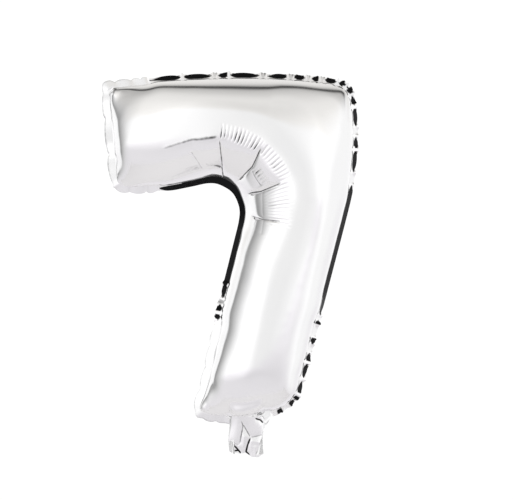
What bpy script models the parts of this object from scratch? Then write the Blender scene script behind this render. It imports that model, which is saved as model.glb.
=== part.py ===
"""Foil number balloon, figure 7, the 16 inch air-fill kind, inflated and hung up by its top seam.

Metres, +Z up, front of the figure towards -Y. The origin is the middle of the whole object's box.
The envelope is two foil films welded round their edge: front_panel and back_panel are their inflated
faces, and seam_flange is the weld between them. The neck below the foot of the figure is the tail of
both films, with the two clear valve films inside it, which run on up into the balloon.
"""

import math

import bmesh
import bpy
import numpy as np
from mathutils import Vector
from mathutils.geometry import delaunay_2d_cdt

MM = 0.001

# Driving dimensions, in millimetres.
# The seam line of the inflated figure, clockwise seen from the front, as points of a smooth closed curve.
SEAM_TOP = [(-113.5, 161.0), (-108.5, 166.8), (-60, 171.2), (0, 174.0), (55, 172.6), (99, 168.2), (108.5, 164.0)]
SEAM_RIGHT = [(111.4, 155), (113.8, 130), (113.2, 106), (110.6, 82), (106.2, 58), (85.3, -22.6), (63.2, -108)]
SEAM_FOOT = [(57, -122.5), (48.5, -130), (36, -136.8), (15.6, -142.3), (-10, -141.6), (-24.4, -138.6), (-27.4, -133)]
SEAM_STEM = [(-21.6, -116), (-11.8, -72), (1.3, -20), (10.8, 18), (16.4, 42), (16.2, 57), (8.8, 72.3), (-5.0, 82.2)]
SEAM_ARM = [(-20, 84.6), (-38, 81.2), (-62, 76.6), (-84, 74.8), (-100.5, 75.4), (-105.8, 80.6), (-108.4, 105)]
SEAM_SPACING = 6.0  # between points along the seam
SKIN_SPACING = 10.0  # between points inside the panels
EDGE_RINGS = (1.2, 4.2)  # extra rings of points this far inside the seam, where the skin turns fastest
INFLATION = 0.90  # fullness: 1 gives a tube of circular section
FILM = 0.6  # stand-in thickness of the foil, which is 0.03 mm in life
RIM_GAP = 0.35  # half of the gap left between the two panels at the seam

FLANGE_WIDTH = 7.5
FLANGE_THICKNESS = 0.8
FLANGE_GAP = 0.3  # between the panels' rims and the weld

NECK_X = 15.6  # centre line of the neck
NECK_WIDTH = 33.0
NECK_BOTTOM = -181.5
NECK_AXIS_Z = -146.5  # the crease that the neck folds about
NECK_TOP = NECK_AXIS_Z - 1.0
NECK_BOW_TOP = 1.9  # how far each side bows out at the crease
NECK_BOW_MOUTH = 4.6  # and at the open end
NECK_FILM = 0.5
NECK_GAP = 2.5  # between the neck's side seams and the cut ends of the weld
FOOT_LEVEL = -130.0  # over the neck, only the foot's seam lies below this

VALVE_WIDTH = 24.0
VALVE_FILM = 0.4
VALVE_GAP = 0.35  # between the valve film and the foil that it lines
VALVE_WAY = (27.0, 5.4, 10.0)  # the opening between the panels that the valve passes through
INLET_BOTTOM = NECK_BOTTOM + 3.0
SLEEVE_TOP = -84.0
SLEEVE_BOTTOM = -143.3
SLEEVE_AXIS_Z = -142.5
SLEEVE_EDGE_Y = 0.25
SLEEVE_BOW = 0.7
INK_WIDTH = 14.0
INK_TOP = -92.0
INK_BOTTOM = -137.0
INK_THICKNESS = 0.3

COLOURS = {
    "foil": ((0.86, 0.86, 0.87), 1.0, 0.14),
    "weld": ((0.80, 0.80, 0.81), 1.0, 0.22),
    "valve": ((0.88, 0.90, 0.90), 0.0, 0.30),
    "ink": ((0.30, 0.32, 0.34), 0.0, 0.70),
}


def clear_scene():
    for obj in list(bpy.data.objects):
        bpy.data.objects.remove(obj, do_unlink=True)


def new_collection(name):
    collection = bpy.data.collections.new(name)
    bpy.context.scene.collection.children.link(collection)
    return collection


def new_material(name):
    colour, metallic, roughness = COLOURS[name]
    material = bpy.data.materials.new(name)
    material.use_nodes = True
    shader = material.node_tree.nodes["Principled BSDF"]
    shader.inputs["Base Color"].default_value = (*colour, 1.0)
    shader.inputs["Metallic"].default_value = metallic
    shader.inputs["Roughness"].default_value = roughness
    return material


def new_object(name, verts_mm, faces, collection, material, pivot_mm=(0, 0, 0)):
    """A mesh object whose origin lies on its joint's axis."""
    pivot = np.array(pivot_mm, float)
    mesh = bpy.data.meshes.new(name)
    mesh.from_pydata(((np.array(verts_mm) - pivot) * MM).tolist(), [], [list(face) for face in faces])
    mesh.materials.append(material)
    obj = bpy.data.objects.new(name, mesh)
    obj.location = pivot * MM
    collection.objects.link(obj)
    return obj


def thicken(obj, thickness, offset):
    solidify = obj.modifiers.new("film", "SOLIDIFY")
    solidify.thickness = thickness * MM
    solidify.offset = offset


def closed_curve(points, spacing):
    """Points evenly along the smooth closed curve through these, by the Catmull-Rom rule."""
    p1 = np.array(points, float)
    p0, p2, p3 = np.roll(p1, 1, 0), np.roll(p1, -1, 0), np.roll(p1, -2, 0)
    dense = []
    for t in np.arange(0, 1, 0.05):
        bend = (2 * p0 - 5 * p1 + 4 * p2 - p3) * t * t + (3 * p1 - p0 - 3 * p2 + p3) * t**3
        dense.append(0.5 * (2 * p1 + (p2 - p0) * t + bend))
    curve = np.stack(dense, 1).reshape(-1, 2)
    curve = np.vstack([curve, curve[:1]])
    along = np.concatenate([[0], np.cumsum(np.linalg.norm(np.diff(curve, axis=0), axis=1))])
    count = round(along[-1] / spacing)
    at = np.arange(count) * along[-1] / count
    return np.stack([np.interp(at, along, curve[:, k]) for k in (0, 1)], 1)


def outward(loop):
    """Unit normals pointing out of a clockwise loop."""
    along = np.roll(loop, -1, 0) - np.roll(loop, 1, 0)
    along /= np.linalg.norm(along, axis=1)[:, None]
    return np.stack([-along[:, 1], along[:, 0]], 1)


def inside(points, loop):
    found = np.zeros(len(points), bool)
    x, z = points.T
    for (x1, z1), (x2, z2) in zip(loop, np.roll(loop, 1, 0)):
        if z1 != z2:
            found ^= ((z1 > z) != (z2 > z)) & (x < (x2 - x1) * (z - z1) / (z2 - z1) + x1)
    return found


def depth_from(points, loop):
    """Distance of each point from the seam line."""
    start, end = loop, np.roll(loop, -1, 0)
    run = end - start
    t = ((points[:, None] - start) * run).sum(2) / (run * run).sum(1)
    nearest = start + np.clip(t, 0, 1)[..., None] * run
    return np.linalg.norm(points[:, None] - nearest, axis=2).min(1)


def skin_points(seam):
    """Points inside the seam: rings close to it, then a triangular grid."""
    normals = outward(seam)
    rings = []
    for inset in EDGE_RINGS:
        ring = seam - normals * inset
        rings.append(ring[inside(ring, seam)])
        rings[-1] = rings[-1][depth_from(rings[-1], seam) > 0.9 * inset]
    low, high = seam.min(0), seam.max(0)
    rows = np.arange(low[1], high[1], SKIN_SPACING * math.sqrt(0.75))
    grid = []
    for i, z in enumerate(rows):
        xs = np.arange(low[0] + (i % 2) * SKIN_SPACING / 2, high[0], SKIN_SPACING)
        grid.append(np.stack([xs, np.full_like(xs, z)], 1))
    grid = np.concatenate(grid)
    grid = grid[inside(grid, seam)]
    grid = grid[depth_from(grid, seam) > EDGE_RINGS[-1] + 0.45 * SKIN_SPACING]
    return np.concatenate([seam, *rings, grid])


def triangulate(points, seam_count):
    edges = [(i, (i + 1) % seam_count) for i in range(seam_count)]
    verts, _, faces, _, _, _ = delaunay_2d_cdt([Vector(p) for p in points], edges, [], 1, 1e-6)
    return np.array([tuple(v) for v in verts]), np.array(faces)


def inflated_height(points, faces, seam_count):
    """Half depth of the balloon at each point: the root of a membrane's lift over this outline.

    On a long strip this is exactly a circular section, and it swells where the arm meets the stem.
    """
    count = len(points)
    stiffness = np.zeros((count, count))
    area_at = np.zeros(count)
    for k in range(3):
        a, b, c = faces[:, k], faces[:, (k + 1) % 3], faces[:, (k + 2) % 3]
        u, v = points[a] - points[c], points[b] - points[c]
        cross = np.abs(u[:, 0] * v[:, 1] - u[:, 1] * v[:, 0])
        weight = (u * v).sum(1) / cross / 2
        np.add.at(stiffness, (a, b), -weight)
        np.add.at(stiffness, (b, a), -weight)
        np.add.at(stiffness, (a, a), weight)
        np.add.at(stiffness, (b, b), weight)
        np.add.at(area_at, c, cross / 6)
    free = np.arange(seam_count, count)
    lift = np.zeros(count)
    lift[free] = np.linalg.solve(stiffness[np.ix_(free, free)], area_at[free])
    return INFLATION * np.sqrt(2 * np.maximum(lift, 0))


def make_panels(seam, collection, material, cutter):
    points, faces = triangulate(skin_points(seam), len(seam))
    height = inflated_height(points, faces, len(seam)) + RIM_GAP
    edge1, edge2 = points[faces[:, 1]] - points[faces[:, 0]], points[faces[:, 2]] - points[faces[:, 0]]
    if (edge1[:, 0] * edge2[:, 1] - edge1[:, 1] * edge2[:, 0]).sum() < 0:
        faces = faces[:, ::-1]
    for name, side, turn in (("front_panel", -1, 1), ("back_panel", 1, -1)):
        verts = np.stack([points[:, 0], side * height, points[:, 1]], 1)
        panel = new_object(name, verts, faces[:, ::turn], collection, material)
        thicken(panel, FILM, -1)
        notch = panel.modifiers.new("neck way", "BOOLEAN")
        notch.operation = "DIFFERENCE"
        notch.solver = "EXACT"
        notch.object = cutter


def make_neck_cutter(collection):
    """Opens the seam at the neck, where the valve passes between the films."""
    bpy.ops.mesh.primitive_cube_add(size=1, location=(NECK_X * MM, 0, SLEEVE_AXIS_Z * MM))
    cutter = bpy.context.object
    cutter.name = "neck_way_cutter"
    cutter.scale = [size * MM for size in VALVE_WAY]
    cutter.hide_render = True
    cutter.display_type = "WIRE"
    for owner in list(cutter.users_collection):
        owner.objects.unlink(cutter)
    collection.objects.link(cutter)
    return cutter


def make_flange(seam, collection, material):
    """The welded margin: one flat outline round the figure, open where the neck leaves it."""
    normals = outward(seam)
    inner, outer = seam + normals * FLANGE_GAP, seam + normals * FLANGE_WIDTH
    over_neck = np.abs(seam[:, 0] - NECK_X) < NECK_WIDTH / 2 + NECK_GAP
    keep = ~(over_neck & (seam[:, 1] < FOOT_LEVEL))
    start = int(np.flatnonzero(keep & ~np.roll(keep, 1))[0])
    order = np.roll(np.arange(len(seam)), -start)[: keep.sum()]
    outline = np.concatenate([outer[order], inner[order][::-1]])
    curve = bpy.data.curves.new("seam_flange", "CURVE")
    curve.dimensions = "2D"
    curve.fill_mode = "BOTH"
    curve.extrude = FLANGE_THICKNESS / 2 * MM
    spline = curve.splines.new("POLY")
    spline.points.add(len(outline) - 1)
    for point, (x, z) in zip(spline.points, outline):
        point.co = (x * MM, z * MM, 0, 1)
    spline.use_cyclic_u = True
    curve.materials.append(material)
    flange = bpy.data.objects.new("seam_flange", curve)
    flange.rotation_euler = (math.pi / 2, 0, 0)
    collection.objects.link(flange)


def bowed_film(name, side, width, low, high, bow, thickness, pivot, collection, material, columns=8, rows=6):
    """A film standing in the XZ plane, whose face away from the middle plane is at y = bow(x, z)."""
    xs = np.linspace(-width / 2, width / 2, columns + 1)
    zs = np.linspace(low, high, rows + 1)
    verts = [(NECK_X + x, side * bow(x, z), z) for z in zs for x in xs]
    wide = columns + 1
    faces = []
    for r in range(rows):
        for c in range(columns):
            corner = r * wide + c
            face = (corner, corner + 1, corner + wide + 1, corner + wide)
            faces.append(face if side < 0 else face[::-1])
    film = new_object(name, verts, faces, collection, material, pivot)
    thicken(film, thickness, -1)
    return film


def neck_bow(x, z):
    """Outer face of the neck's foil: flat at its side seams, bowed out in the middle."""
    down = (NECK_TOP - z) / (NECK_TOP - NECK_BOTTOM)
    bow = NECK_BOW_TOP + (NECK_BOW_MOUTH - NECK_BOW_TOP) * down
    return RIM_GAP + NECK_FILM + bow * math.cos(math.pi * x / NECK_WIDTH)


def inlet_bow(x, z):
    return neck_bow(x, z) - NECK_FILM - VALVE_GAP


def sleeve_bow(x, z):
    return SLEEVE_EDGE_Y + VALVE_FILM + SLEEVE_BOW * math.cos(math.pi * x / VALVE_WIDTH)


def ink_bow(x, z):
    return sleeve_bow(x, z) - VALVE_FILM - VALVE_GAP * 0.8


def make_neck_and_valve(collection, foil, valve, ink):
    crease = (NECK_X, 0, NECK_AXIS_Z)
    root = (NECK_X, 0, SLEEVE_AXIS_Z)
    for where, side in (("front", -1), ("back", 1)):
        bowed_film(f"neck_{where}", side, NECK_WIDTH, NECK_BOTTOM, NECK_TOP, neck_bow, NECK_FILM,
                   crease, collection, foil)
        bowed_film(f"valve_inlet_{where}", side, VALVE_WIDTH, INLET_BOTTOM, NECK_TOP - 0.3, inlet_bow,
                   VALVE_FILM, crease, collection, valve)
        bowed_film(f"valve_sleeve_{where}", side, VALVE_WIDTH, SLEEVE_BOTTOM, SLEEVE_TOP, sleeve_bow,
                   VALVE_FILM, root, collection, valve)
    bowed_film("valve_release_ink", 1, INK_WIDTH, INK_BOTTOM, INK_TOP, ink_bow, INK_THICKNESS,
               root, collection, ink)


def main():
    clear_scene()
    parts = new_collection("foil_number_balloon")
    cutters = new_collection("cutters")
    materials = {name: new_material(name) for name in COLOURS}
    seam = closed_curve(SEAM_TOP + SEAM_RIGHT + SEAM_FOOT + SEAM_STEM + SEAM_ARM, SEAM_SPACING)
    cutter = make_neck_cutter(cutters)
    make_panels(seam, parts, materials["foil"], cutter)
    make_flange(seam, parts, materials["weld"])
    make_neck_and_valve(parts, materials["foil"], materials["valve"], materials["ink"])


main()
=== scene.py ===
"""Looks of the foil number balloon, figure 7.

The balloon is made here as a real one is: two flat sheets of film are cut to a pattern, welded round
the edge, and blown up. The film is a cloth simulation that hardly stretches but folds freely. The pattern
is found by blowing it up coarsely a few times and moving its edge until the seam lands near the CAD's.
The simulation gives the swelling. Its folds along the seam and at the inner corner are then smoothed out,
and the creases, combs, scallops and the neck's crumples are laid in where the photo has them.
"""

import math

import bpy
import numpy as np
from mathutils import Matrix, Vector
from mathutils.geometry import delaunay_2d_cdt


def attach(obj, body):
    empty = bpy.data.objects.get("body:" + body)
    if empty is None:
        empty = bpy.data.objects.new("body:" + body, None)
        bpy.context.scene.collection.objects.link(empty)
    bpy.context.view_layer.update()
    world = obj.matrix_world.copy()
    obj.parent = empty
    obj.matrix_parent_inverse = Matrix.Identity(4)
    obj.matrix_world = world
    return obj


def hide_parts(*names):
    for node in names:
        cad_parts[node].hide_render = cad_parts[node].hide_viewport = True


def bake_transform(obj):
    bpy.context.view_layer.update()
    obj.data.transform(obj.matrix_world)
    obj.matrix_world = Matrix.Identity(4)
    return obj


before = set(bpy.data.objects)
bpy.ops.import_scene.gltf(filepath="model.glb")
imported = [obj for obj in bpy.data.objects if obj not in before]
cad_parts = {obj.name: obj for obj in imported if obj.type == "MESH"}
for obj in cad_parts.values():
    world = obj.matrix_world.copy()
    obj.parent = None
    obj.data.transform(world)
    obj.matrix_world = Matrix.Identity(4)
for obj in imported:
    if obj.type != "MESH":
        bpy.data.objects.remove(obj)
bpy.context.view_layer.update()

MM = 0.001

# The seam line of the blown-up figure, clockwise seen from the front, as in the CAD model.
SEAM_TOP = [(-113.5, 161), (-108.5, 166.8), (-60, 171.2), (0, 174), (55, 172.6), (99, 168.2), (108.5, 164)]
SEAM_RIGHT = [(111.4, 155), (113.8, 130), (113.2, 106), (110.6, 82), (106.2, 58), (85.3, -22.6), (63.2, -108)]
SEAM_FOOT = [
    (57, -122.5), (48.5, -130), (36, -136.8), (15.6, -142.3), (-10, -141.6), (-24.4, -138.6), (-27.4, -133),
]
SEAM_STEM = [
    (-21.6, -116), (-11.8, -72), (1.3, -20), (10.8, 18), (16.4, 42), (16.2, 57), (8.8, 72.3), (-5, 82.2),
]
SEAM_ARM = [(-20, 84.6), (-38, 81.2), (-62, 76.6), (-84, 74.8), (-100.5, 75.4), (-105.8, 80.6), (-108.4, 105)]

FLANGE = 7.5 * MM
FLANGE_ROWS = 2
NECK_X = 15.6 * MM
NECK_WIDTH = 33 * MM
NECK_LENGTH = 36 * MM
FOOT_LEVEL = -120 * MM  # the neck and all that it draws on lie below this

STEP = 6 * MM  # between points of the coarse film
FINER = 2  # times that its triangles are split in four
FITS = 10  # times that the pattern's edge is moved
FIT_PUSH = 0.06  # pressure while the pattern is fitted
FIT_STEPS = (500, 250)  # steps before the first move of the edge, and after each
LEVELS = ((300, 0.03, 0.06), (200, 0.015, 0.25))  # steps, pressure and fold stiffness on each finer mesh
BATCH = 2000  # points whose distances to the seam are worked out at a time

FRONT, BACK, WELD, NECK_FRONT, NECK_BACK = range(5)  # kinds of face


# The pattern

def closed_curve(points, spacing):
    """Points evenly along the smooth closed curve through these, by the Catmull-Rom rule."""
    p1 = np.array(points, float)
    p0, p2, p3 = np.roll(p1, 1, 0), np.roll(p1, -1, 0), np.roll(p1, -2, 0)
    dense = []
    for t in np.arange(0, 1, 0.05):
        bend = (2 * p0 - 5 * p1 + 4 * p2 - p3) * t * t + (3 * p1 - p0 - 3 * p2 + p3) * t**3
        dense.append(0.5 * (2 * p1 + (p2 - p0) * t + bend))
    curve = np.stack(dense, 1).reshape(-1, 2)
    curve = np.vstack([curve, curve[:1]])
    along = np.concatenate([[0], np.cumsum(np.linalg.norm(np.diff(curve, axis=0), axis=1))])
    count = round(along[-1] / spacing)
    at = np.arange(count) * along[-1] / count
    return np.stack([np.interp(at, along, curve[:, k]) for k in (0, 1)], 1)


def smoothed(loop, times):
    """A closed loop of values, each drawn towards its two neighbours."""
    for _ in range(times):
        loop = (np.roll(loop, 1, 0) + 2 * loop + np.roll(loop, -1, 0)) / 4
    return loop


def outward(loop, smooth=0):
    """Unit normals pointing out of a clockwise loop."""
    along = np.roll(loop, -1, 0) - np.roll(loop, 1, 0)
    normal = smoothed(np.stack([-along[:, 1], along[:, 0]], 1), smooth)
    return normal / np.linalg.norm(normal, axis=1)[:, None]


def inside(points, loop):
    """Which points lie within the loop."""
    found = np.zeros(len(points), bool)
    x, z = points.T
    for (x1, z1), (x2, z2) in zip(loop, np.roll(loop, 1, 0)):
        if z1 != z2:
            found ^= ((z1 > z) != (z2 > z)) & (x < (x2 - x1) * (z - z1) / (z2 - z1) + x1)
    return found


def distances(points, loop):
    return np.linalg.norm(points[:, None] - loop[None], axis=2)


def flat_areas(flat, faces):
    """Areas of flat triangles, below 0 where one is turned over."""
    a, b, c = (flat[faces[:, k]] for k in range(3))
    return ((b[:, 0] - a[:, 0]) * (c[:, 1] - a[:, 1]) - (b[:, 1] - a[:, 1]) * (c[:, 0] - a[:, 0])) / 2


class Film:
    """The balloon's film as one triangle mesh: its topology, and its flat pattern."""


def lay_out(step):
    """The film's topology over the seam line: both panels, the welded margin and the neck."""
    film = Film()
    film.target = closed_curve(np.array(SEAM_TOP + SEAM_RIGHT + SEAM_FOOT + SEAM_STEM + SEAM_ARM) * MM, step)
    loop = film.target
    count = len(loop)
    rng = np.random.default_rng(1)
    low, high = loop.min(0), loop.max(0)
    grid = []
    for i, z in enumerate(np.arange(low[1], high[1], step * math.sqrt(0.75))):
        xs = np.arange(low[0] + (i % 2) * step / 2, high[0], step)
        grid.append(np.stack([xs, np.full_like(xs, z)], 1))
    grid = np.concatenate(grid)
    grid += rng.normal(0, step * 0.04, grid.shape)
    grid = grid[inside(grid, loop)]
    grid = grid[distances(grid, loop).min(1) > 0.7 * step]
    points = np.concatenate([loop, grid])
    edges = [(i, (i + 1) % count) for i in range(count)]
    verts, _, faces, _, _, _ = delaunay_2d_cdt([Vector(p) for p in points], edges, [], 1, 1e-7)
    film.base = np.array([tuple(v) for v in verts])
    faces = np.array(faces)
    turned = flat_areas(film.base, faces) < 0
    faces[turned] = faces[turned][:, [0, 2, 1]]
    sheet_count = len(film.base)
    film.loop_count, film.inner_count = count, sheet_count - count
    back = np.arange(sheet_count)
    back[count:] += film.inner_count
    total = sheet_count + film.inner_count

    # The neck hangs from the stretch of the seam that lies over it. Its side edges are welded.
    over_neck = np.flatnonzero((np.abs(loop[:, 0] - NECK_X) < NECK_WIDTH / 2) & (loop[:, 1] < FOOT_LEVEL))
    first, last = over_neck[0], over_neck[-1]
    film.neck_top = np.arange(first, last + 1)
    wide = len(film.neck_top)
    rows = round(NECK_LENGTH / (FLANGE / FLANGE_ROWS))
    film.neck_front = np.zeros((rows + 1, wide), int)
    film.neck_front[0] = film.neck_top
    film.neck_front[1:] = total + np.arange(rows * wide).reshape(rows, wide)
    total += rows * wide
    film.neck_back = film.neck_front.copy()
    film.neck_back[1:, 1:-1] = total + np.arange(rows * (wide - 2)).reshape(rows, wide - 2)
    total += rows * (wide - 2)

    # The margin runs from one side of the neck round the figure to the other.
    film.round_seam = (last + np.arange(count - (last - first) + 1)) % count
    long = len(film.round_seam)
    film.margin = np.zeros((FLANGE_ROWS + 1, long), int)
    film.margin[0] = film.round_seam
    film.margin[1:, 1:-1] = total + np.arange(FLANGE_ROWS * (long - 2)).reshape(FLANGE_ROWS, long - 2)
    film.margin[1:, 0] = film.neck_front[1 : FLANGE_ROWS + 1, -1]
    film.margin[1:, -1] = film.neck_front[1 : FLANGE_ROWS + 1, 0]
    total += FLANGE_ROWS * (long - 2)

    parts = [(FRONT, faces), (BACK, back[faces][:, ::-1]), (WELD, strip_faces(film.margin))]
    parts += [(NECK_FRONT, strip_faces(film.neck_front)), (NECK_BACK, strip_faces(film.neck_back)[:, ::-1])]
    film.faces = np.concatenate([found for _, found in parts])
    film.kind = np.concatenate([np.full(len(found), kind) for kind, found in parts])
    film.count = total
    film.side = np.zeros(total)
    film.side[count:sheet_count] = -1
    film.side[sheet_count : sheet_count + film.inner_count] = 1
    film.side[film.neck_front[1:, 1:-1]] = -1
    film.side[film.neck_back[1:, 1:-1]] = 1
    film.curves = [film.margin[k] for k in range(1, FLANGE_ROWS + 1)]
    film.curves.append(np.append(np.arange(count), 0))
    film.along = np.zeros(total)
    film.across = np.zeros(total)
    film.along[film.margin] = np.arange(long) / (long - 1)
    film.across[film.margin] = np.arange(FLANGE_ROWS + 1)[:, None] / FLANGE_ROWS
    return film


def strip_faces(grid):
    """Two triangles for each cell of a grid of points, the diagonal changing from cell to cell."""
    faces = []
    for r in range(grid.shape[0] - 1):
        for c in range(grid.shape[1] - 1):
            p, q, s, t = grid[r, c], grid[r + 1, c], grid[r + 1, c + 1], grid[r, c + 1]
            faces += [(p, q, s), (p, s, t)] if (r + c) % 2 else [(p, q, t), (q, s, t)]
    return np.array(faces)


def cut(film, edge):
    """Sets the flat pattern from its seam line: panels inside it, the margin outside it, the neck below."""
    count, inner = film.loop_count, film.inner_count
    film.edge = edge
    shift = edge - film.target
    sheet = film.base.copy()
    sheet[:count] = edge
    for i in range(count, count + inner, BATCH):
        some = film.base[i : i + BATCH]
        weight = 1 / distances(some, film.target) ** 2.5
        sheet[i : i + BATCH] = some + weight @ shift / weight.sum(1)[:, None]
    film.flat = np.zeros((film.count, 2))
    film.flat[: count + inner] = sheet
    film.flat[count + inner : count + 2 * inner] = sheet[count:]
    normals = outward(edge, 2)[film.round_seam]
    for k in range(1, FLANGE_ROWS + 1):
        film.flat[film.margin[k]] = edge[film.round_seam] + normals * FLANGE * k / FLANGE_ROWS
    top = edge[film.neck_top]
    level = top[[0, -1], 1].mean()
    for k in range(1, len(film.neck_front)):
        slope = max(0, 1 - k / 4)
        down = level + slope * (top[:, 1] - level) - FLANGE / FLANGE_ROWS * k
        row = np.stack([top[:, 0], down], 1)
        film.flat[film.neck_front[k]] = row
        film.flat[film.neck_back[k]] = row


def edges_of(faces):
    """The ends of each triangle's three edges, as pairs in order of number."""
    ends = np.concatenate([faces[:, [0, 1]], faces[:, [1, 2]], faces[:, [2, 0]]])
    return np.sort(ends, axis=1)


def colours(pairs, count):
    """A group number for each pair, so that no point is in two pairs of one group."""
    used = [0] * count
    group = np.empty(len(pairs), int)
    for i, (a, b) in enumerate(pairs.tolist()):
        taken = used[a] | used[b]
        bit = ~taken & (taken + 1)
        group[i] = bit.bit_length() - 1
        used[a] |= bit
        used[b] |= bit
    return group


def find_links(film):
    """The pairs of points that the film ties: ends of each edge, and the tips across each fold."""
    film.edges = np.unique(edges_of(film.faces), axis=0)
    film.edge_group = colours(film.edges, film.count)
    ends = edges_of(film.faces)
    tips = np.concatenate([film.faces[:, 2], film.faces[:, 0], film.faces[:, 1]])
    kinds = np.tile(film.kind, 3)
    order = np.lexsort((kinds, ends[:, 1], ends[:, 0]))
    ends, tips, kinds = ends[order], tips[order], kinds[order]
    pairs, stiff = [], []
    for apart in (1, 2):
        i = np.flatnonzero((ends[apart:] == ends[:-apart]).all(1))
        one, two = kinds[i], kinds[i + apart]
        across = (one != two) & ((one == WELD) | (two == WELD) | (np.abs(one - two) == 3))
        keep = (one == two) | across
        pairs.append(np.stack([tips[i], tips[i + apart]], 1)[keep])
        stiff.append(np.where(one != two, 0.3, np.where(one == WELD, 3.0, 1.0))[keep])
    film.folds = np.concatenate(pairs)
    film.fold_stiffness = np.concatenate(stiff)
    film.fold_group = colours(film.folds, film.count)


def rest(film):
    """Takes every length from the flat pattern."""
    flat = film.flat
    length = np.linalg.norm(flat[film.edges[:, 0]] - flat[film.edges[:, 1]], axis=1)
    film.spacing = np.median(length)
    film.edge_sets = []
    for group in range(film.edge_group.max() + 1):
        i = np.flatnonzero(film.edge_group == group)
        film.edge_sets.append((film.edges[i, 0], film.edges[i, 1], length[i]))
    length = np.linalg.norm(flat[film.folds[:, 0]] - flat[film.folds[:, 1]], axis=1)
    film.fold_sets = []
    for group in range(film.fold_group.max() + 1):
        i = np.flatnonzero(film.fold_group == group)
        film.fold_sets.append((film.folds[i, 0], film.folds[i, 1], length[i], film.fold_stiffness[i]))
    area = np.abs(flat_areas(flat, film.faces))
    mass = sum(np.bincount(film.faces[:, k], area / 3, film.count) for k in range(3))
    film.mass = (mass / np.median(mass))[:, None]
    film.area = np.median(area)


def pressure(points, faces, count):
    """The push of the gas on each point, which is along its normal."""
    push = np.cross(points[faces[:, 1]] - points[faces[:, 0]], points[faces[:, 2]] - points[faces[:, 0]])
    force = np.zeros((count, 3))
    for k in range(3):
        for axis in range(3):
            force[:, axis] += np.bincount(faces[:, k], push[:, axis], count)
    return force


def correct(points, a, b, length, share, limit):
    """Moves pairs of points that are too far apart (limit np.maximum) or too near (np.minimum)."""
    way = points[b] - points[a]
    now = np.sqrt((way * way).sum(1)) + 1e-12
    move = (share * limit(now - length, 0) / now)[:, None] * way
    points[a] += move
    points[b] -= move


def blow_up(film, points, steps, push, bend=0.02, drag=0.02, neck_push=0.15):
    """Steps the film under pressure. It resists stretching fully, folding a little, crumpling not at all."""
    panels = film.faces[film.kind <= BACK]
    neck = film.faces[film.kind >= NECK_FRONT]
    scale = push / (6 * film.area) * film.spacing * 0.02
    speed = np.zeros_like(points)
    hang = np.zeros_like(points)
    hang[np.unique(neck), 2] = -push * film.spacing * 0.004
    for _ in range(steps):
        force = pressure(points, panels, film.count) + neck_push * pressure(points, neck, film.count)
        before = points
        speed *= 1 - drag
        points = points + speed + force * scale / film.mass + hang
        for a, b, length in film.edge_sets:
            correct(points, a, b, length, 0.5, np.maximum)
        for a, b, length, stiff in film.fold_sets:
            correct(points, a, b, length, 0.5 * bend * stiff, np.minimum)
        speed = points - before
    return points


def settle_on(film, points):
    """Turns and moves the balloon in its own plane so that its seam lies best on the CAD's."""
    seam = points[: film.loop_count][:, [0, 2]]
    mid, aim = seam.mean(0), film.target.mean(0)
    cross = (seam - mid).T @ (film.target - aim)
    angle = math.atan2(cross[0, 1] - cross[1, 0], cross[0, 0] + cross[1, 1])
    c, s = math.cos(angle), math.sin(angle)
    out = points.copy()
    out[:, [0, 2]] = (points[:, [0, 2]] - mid) @ np.array([[c, s], [-s, c]]) + aim
    out[:, 1] -= points[: film.loop_count, 1].mean()
    return out


def fit_pattern(film):
    """Blows the film up coarsely, and moves the pattern's edge until the seam lands on the target."""
    cut(film, film.target + outward(film.target, 6) * 20 * MM)
    find_links(film)
    rest(film)
    depth = distances(film.flat, film.edge).min(1)
    points = np.stack([film.flat[:, 0], film.side * 20 * MM * np.tanh(depth / (20 * MM)), film.flat[:, 1]], 1)
    points += np.random.default_rng(3).normal(0, 0.3 * MM, points.shape)
    points = blow_up(film, points, FIT_STEPS[0], FIT_PUSH)
    for _ in range(FITS):
        points = settle_on(film, points)
        miss = film.target - points[: film.loop_count][:, [0, 2]]
        edge = film.edge + 0.6 * smoothed(miss, 6)
        for _ in range(2):
            along = np.roll(edge, -1, 0) - np.roll(edge, 1, 0)
            along /= np.linalg.norm(along, axis=1)[:, None]
            uneven = ((np.roll(edge, -1, 0) + np.roll(edge, 1, 0)) / 2 - edge) * along
            edge = edge + 0.5 * uneven.sum(1)[:, None] * along
        cut(film, edge)
        rest(film)
        points = blow_up(film, points, FIT_STEPS[1], FIT_PUSH)
    points = settle_on(film, points)
    miss = np.linalg.norm(film.target - points[: film.loop_count][:, [0, 2]], axis=1)
    print(f"seam misses its line by {miss.mean() * 1000:.2f} mm, at most {miss.max() * 1000:.2f} mm")
    return points


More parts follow.
